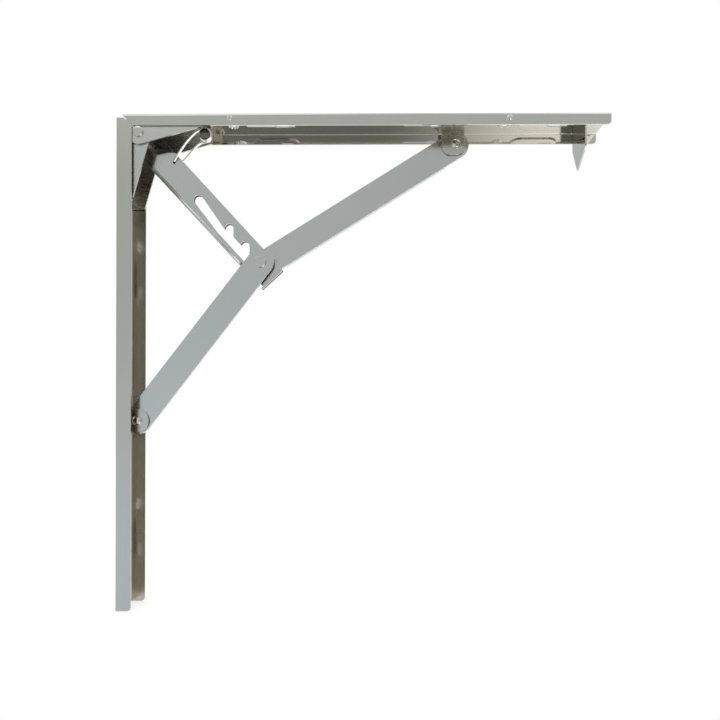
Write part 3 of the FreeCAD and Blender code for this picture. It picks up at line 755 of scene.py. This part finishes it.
class BRACKET_OT_spring(bpy.types.Operator):
    """Darken the pin as painted shade inside the coil and wind the latch spring, with its legs on the lock
    arm's hole and edge
    """

    bl_idname = "bracket.spring"
    bl_label = "Build latch spring"

    def execute(self, context):
        finish = context.scene.bracket_finish
        spring = context.scene.bracket_spring
        even = (FINE, FINE, FINE)
        wire = plated_steel("nickel_wire", finish.wire_colour, finish.rail_roughness, even)
        # Painted shade: the pin is coloured dark so that the middle of the coil reads as shaded
        dress(("spring_pin",), plated_steel("pin_shade_plate", finish.pin_shade_colour, finish.arm_roughness, even))
        points, faces = tube(spring_path(spring), spring.wire_radius, spring.tube_sides)
        piece = add_piece("latch_spring_wire", points, faces, "leaf_frame", "spring_wire", wire)
        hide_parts("latch_spring")
        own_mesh(piece)
        return {"FINISHED"}


def spring_path(spring):
    """Middle line of the wire: bowed upper leg from its hook, helix about the pin, and lower leg.

    The helix is (r sin t, y + pitch t / 2 pi, r cos t) about the pin's axis, and the legs are cubic curves
    that leave it along its own tangent."""
    pin_low, pin_high = (np.array(corner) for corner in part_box("spring_pin"))
    axis = (pin_low + pin_high) / 2
    r = spring.coil_radius
    rise = spring.coil_pitch / (2 * np.pi)
    t = np.linspace(0, 2 * np.pi * spring.coil_turns, COIL_POINTS)
    coil = np.stack([axis[0] + r * np.sin(t), spring.coil_front + rise * t, axis[2] + r * np.cos(t)], 1)
    first, last = coil[0], coil[-1]
    forward = np.array([1.0, rise / r, 0.0])
    back = np.array([-1.0, rise / r, 0.0])
    hook = HINGE + np.array(spring.hook)
    tip = HINGE + np.array(spring.tip)
    upper = bezier([hook, hook + UPPER_BOW, first - forward * UPPER_LEAD, first], UPPER_POINTS)[:-1]
    lower = bezier([last, last + back * LOWER_LEAD, tip + LOWER_BOW, tip], LOWER_POINTS)[1:]
    return soften(np.concatenate([upper, coil, lower]), SOFTENING)


def soften(line, width):
    """Moving average along a line, with both ends held."""
    half = width // 2
    padded = np.concatenate([np.repeat(line[:1], half, 0), line, np.repeat(line[-1:], half, 0)])
    kernel = np.ones(width) / width
    smooth = np.stack([np.convolve(padded[:, axis], kernel, mode="valid") for axis in range(3)], 1)
    smooth[0], smooth[-1] = line[0], line[-1]
    return smooth


class BRACKET_OT_dimples(bpy.types.Operator):
    """Press the small locating dimples into the flanges of the leaf rail"""

    bl_idname = "bracket.dimples"
    bl_label = "Build flange dimples"

    def execute(self, context):
        finish = context.scene.bracket_finish
        colour, roughness = finish.pressing_colour, finish.rail_roughness
        plate = plated_steel("dimple_plate", colour, roughness, (FINE, FINE, FINE))
        low, high = (np.array(corner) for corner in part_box("leaf_rail"))
        for number, reach in enumerate(LEAF_SEATS, 1):
            for side, face, outward in (("front", low[1], -1), ("rear", high[1], 1)):
                centre = np.array([HINGE[0] + reach, face, high[2] - DIMPLE_DROP])
                points, faces = turned(dimple_profile(outward), centre, sides=32)
                name = "flange_dimple_%s_%d" % (side, number)
                add_piece(name, points, faces, "leaf_frame", "rail_steel", plate)
        return {"FINISHED"}


def dimple_profile(outward, radius=2.4 * MM, height=0.6 * MM, lift=0.04 * MM, root=0.2 * MM, steps=14):
    """Pressed ring with a low middle, from the front to the rear.

    At r from the middle it stands height sin^2 (pi r / radius) + lift above the face, and its back lies
    root below the face."""
    r = np.linspace(0, radius, steps)
    rise = height * np.sin(np.pi * r / radius) ** 2 + lift
    shown = np.stack([r, rise * outward], 1)
    hidden = np.array([[radius, -root * outward], [0.0, -root * outward]])
    profile = np.concatenate([shown, hidden])
    return profile if outward < 0 else profile[::-1]


class BRACKET_OT_stage(bpy.types.Operator):
    """Set up the pale floor, the soft studio light and the camera"""

    bl_idname = "bracket.stage"
    bl_label = "Build stage"

    def execute(self, context):
        stage = context.scene.bracket_stage
        build_floor(stage)
        build_world(stage)
        for name, (place, size, power) in LAMPS.items():
            add_panel(name, place, size, power)
        build_camera(stage)
        bpy.context.scene.view_settings.view_transform = "Standard"
        return {"FINISHED"}


def seen_directly(nodes, links):
    """Two masks: the camera's own rays, and what glossy and clear surfaces show."""
    path = nodes.new("ShaderNodeLightPath")
    mirrored = nodes.new("ShaderNodeMath")
    mirrored.operation = "MAXIMUM"
    links.new(path.outputs["Is Glossy Ray"], mirrored.inputs[0])
    links.new(path.outputs["Is Transmission Ray"], mirrored.inputs[1])
    return path.outputs["Is Camera Ray"], mirrored.outputs[0]


def build_floor(stage):
    """Plain floor under the foot of the wall rail, from just in front of the rail to far behind it."""
    reach, front = stage.floor_reach, -stage.floor_front
    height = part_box("wall_rail")[0][2]
    corners = np.array([[-reach, front, height], [reach, front, height],
                        [reach, reach, height], [-reach, reach, height]])
    mesh = bpy.data.meshes.new("studio_floor")
    mesh.from_pydata(corners.tolist(), [], [[0, 1, 2, 3]])
    floor = bpy.data.objects.new("studio_floor", mesh)
    bpy.context.collection.objects.link(floor)
    material = bpy.data.materials.new("floor_paper")
    material.use_nodes = True
    nodes = material.node_tree.nodes
    links = material.node_tree.links
    shader = nodes["Principled BSDF"]
    shader.inputs["Base Color"].default_value = tuple(stage.floor_colour) + (1.0,)
    shader.inputs["Roughness"].default_value = FLOOR_ROUGHNESS
    shader.inputs["Specular IOR Level"].default_value = 0.0
    shader.inputs["Emission Color"].default_value = (1, 1, 1, 1)
    camera, mirrored = seen_directly(nodes, links)
    shown = nodes.new("ShaderNodeMath")
    shown.operation = "MAXIMUM"
    share = nodes.new("ShaderNodeMath")
    share.operation = "MULTIPLY"
    share.inputs[1].default_value = FLOOR_GLOW
    links.new(camera, shown.inputs[0])
    links.new(mirrored, shown.inputs[1])
    links.new(shown.outputs[0], share.inputs[0])
    links.new(share.outputs[0], shader.inputs["Emission Strength"])
    mesh.materials.append(material)


def build_world(stage):
    """White to the camera, the studio in reflections, and soft light on everything else."""
    world = bpy.data.worlds.new("studio")
    bpy.context.scene.world = world
    world.use_nodes = True
    nodes = world.node_tree.nodes
    links = world.node_tree.links
    soft = nodes["Background"]
    soft.inputs["Color"].default_value = (1, 1, 1, 1)
    soft.inputs["Strength"].default_value = SOFT_LIGHT
    white = nodes.new("ShaderNodeBackground")
    white.inputs["Color"].default_value = (1, 1, 1, 1)
    studio = nodes.new("ShaderNodeBackground")
    links.new(studio_colour(stage, nodes, links), studio.inputs["Color"])
    camera, mirrored = seen_directly(nodes, links)
    lit = nodes.new("ShaderNodeMixShader")
    seen = nodes.new("ShaderNodeMixShader")
    links.new(mirrored, lit.inputs["Fac"])
    links.new(soft.outputs[0], lit.inputs[1])
    links.new(studio.outputs[0], lit.inputs[2])
    links.new(camera, seen.inputs["Fac"])
    links.new(lit.outputs[0], seen.inputs[1])
    links.new(white.outputs[0], seen.inputs[2])
    links.new(seen.outputs[0], nodes["World Output"].inputs["Surface"])


def studio_colour(stage, nodes, links):
    """White paper behind, a pale studio in front, shaded ground below and a doorway to a dim room.

    Each share goes from none to all between two values of the direction's X, Y or Z."""
    direction = nodes.new("ShaderNodeTexCoord")
    parts = nodes.new("ShaderNodeSeparateXYZ")
    links.new(direction.outputs["Generated"], parts.inputs["Vector"])

    def share(axis, none, all_of_it):
        """Smooth step along one axis of the direction."""
        step = nodes.new("ShaderNodeMapRange")
        step.interpolation_type = "SMOOTHSTEP"
        step.inputs["From Min"].default_value = none
        step.inputs["From Max"].default_value = all_of_it
        links.new(parts.outputs[axis], step.inputs["Value"])
        return step.outputs["Result"]

    def blend(factor, first, second):
        """Mix of two colours, each of them three numbers or the socket of an earlier mix."""
        mix = nodes.new("ShaderNodeMix")
        mix.data_type = "RGBA"
        links.new(factor, mix.inputs["Factor"])
        for socket, colour in ((mix.inputs[MIX_FIRST], first), (mix.inputs[MIX_SECOND], second)):
            if isinstance(colour, bpy.types.NodeSocket):
                links.new(colour, socket)
            else:
                socket.default_value = tuple(colour) + (1.0,)
        return mix.outputs[MIX_RESULT]

    ground = blend(share("X", -0.30, -0.45), stage.shade_colour, stage.paper_colour)
    below = blend(share("X", 0.02, 0.30), ground, stage.bright_colour)
    high = blend(share("Z", 0.30, -0.25), stage.sky_colour, stage.low_sky_colour)
    doorway = blend(share("X", 0.04, 0.18), high, stage.room_colour)
    level = blend(share("X", 0.52, 0.72), doorway, stage.sky_colour)
    front = blend(share("Z", -0.40, -0.30), below, level)
    around = blend(share("Y", 0.0, 0.2), front, stage.paper_colour)
    return blend(share("Z", 0.2, 0.4), around, stage.sky_colour)


def add_panel(name, place, size, power):
    """Square area lamp that faces the middle of the bracket."""
    data = bpy.data.lights.new(name, "AREA")
    data.size = size
    data.energy = power
    lamp = bpy.data.objects.new(name, data)
    bpy.context.collection.objects.link(lamp)
    lamp.location = place
    middle = (CAD_BOX[0] + CAD_BOX[1]) / 2
    lamp.rotation_euler = (middle - Vector(place)).to_track_quat("-Z", "Y").to_euler()


def build_camera(stage):
    """Camera below the leaf, looking along +Y from in front of the channels."""
    data = bpy.data.cameras.new("photo_camera")
    data.lens = stage.camera_lens
    data.shift_x, data.shift_y = stage.camera_shift
    camera = bpy.data.objects.new("photo_camera", data)
    bpy.context.collection.objects.link(camera)
    camera.location = stage.camera_place
    camera.rotation_euler = (math.pi / 2 + stage.camera_tilt, 0, stage.camera_turn)
    bpy.context.scene.camera = camera


class BRACKET_PT_panel(bpy.types.Panel):
    """Sidebar with the bracket's operators and settings"""

    bl_label = "Drop leaf bracket"
    bl_idname = "BRACKET_PT_panel"
    bl_space_type = "VIEW_3D"
    bl_region_type = "UI"
    bl_category = "Bracket"

    def draw(self, context):
        for operator in OPERATORS:
            self.layout.operator(operator.bl_idname)
        scene = context.scene
        for group in (scene.bracket_finish, scene.bracket_spring, scene.bracket_stage):
            box = self.layout.box()
            for name in group.__annotations__:
                box.prop(group, name)


OPERATORS = (BRACKET_OT_rails, BRACKET_OT_pressings, BRACKET_OT_arms, BRACKET_OT_rivets, BRACKET_OT_seats,
             BRACKET_OT_tongue, BRACKET_OT_fold, BRACKET_OT_spring, BRACKET_OT_dimples, BRACKET_OT_stage)
CLASSES = (BracketFinish, SpringSizes, StageSettings) + OPERATORS + (BRACKET_PT_panel,)


def register():
    """Register the classes and hang the property groups on the scene."""
    for cls in CLASSES:
        bpy.utils.register_class(cls)
    bpy.types.Scene.bracket_finish = bpy.props.PointerProperty(type=BracketFinish)
    bpy.types.Scene.bracket_spring = bpy.props.PointerProperty(type=SpringSizes)
    bpy.types.Scene.bracket_stage = bpy.props.PointerProperty(type=StageSettings)


def unregister():
    """Take the property groups and classes away again."""
    del bpy.types.Scene.bracket_finish
    del bpy.types.Scene.bracket_spring
    del bpy.types.Scene.bracket_stage
    for cls in reversed(CLASSES):
        bpy.utils.unregister_class(cls)


def main():
    """Build every piece in order."""
    register()
    bpy.ops.bracket.rails()
    bpy.ops.bracket.pressings()
    bpy.ops.bracket.arms()
    bpy.ops.bracket.rivets()
    bpy.ops.bracket.seats()
    bpy.ops.bracket.tongue()
    bpy.ops.bracket.fold()
    bpy.ops.bracket.spring()
    bpy.ops.bracket.dimples()
    bpy.ops.bracket.stage()


if __name__ == "__main__":
    main()
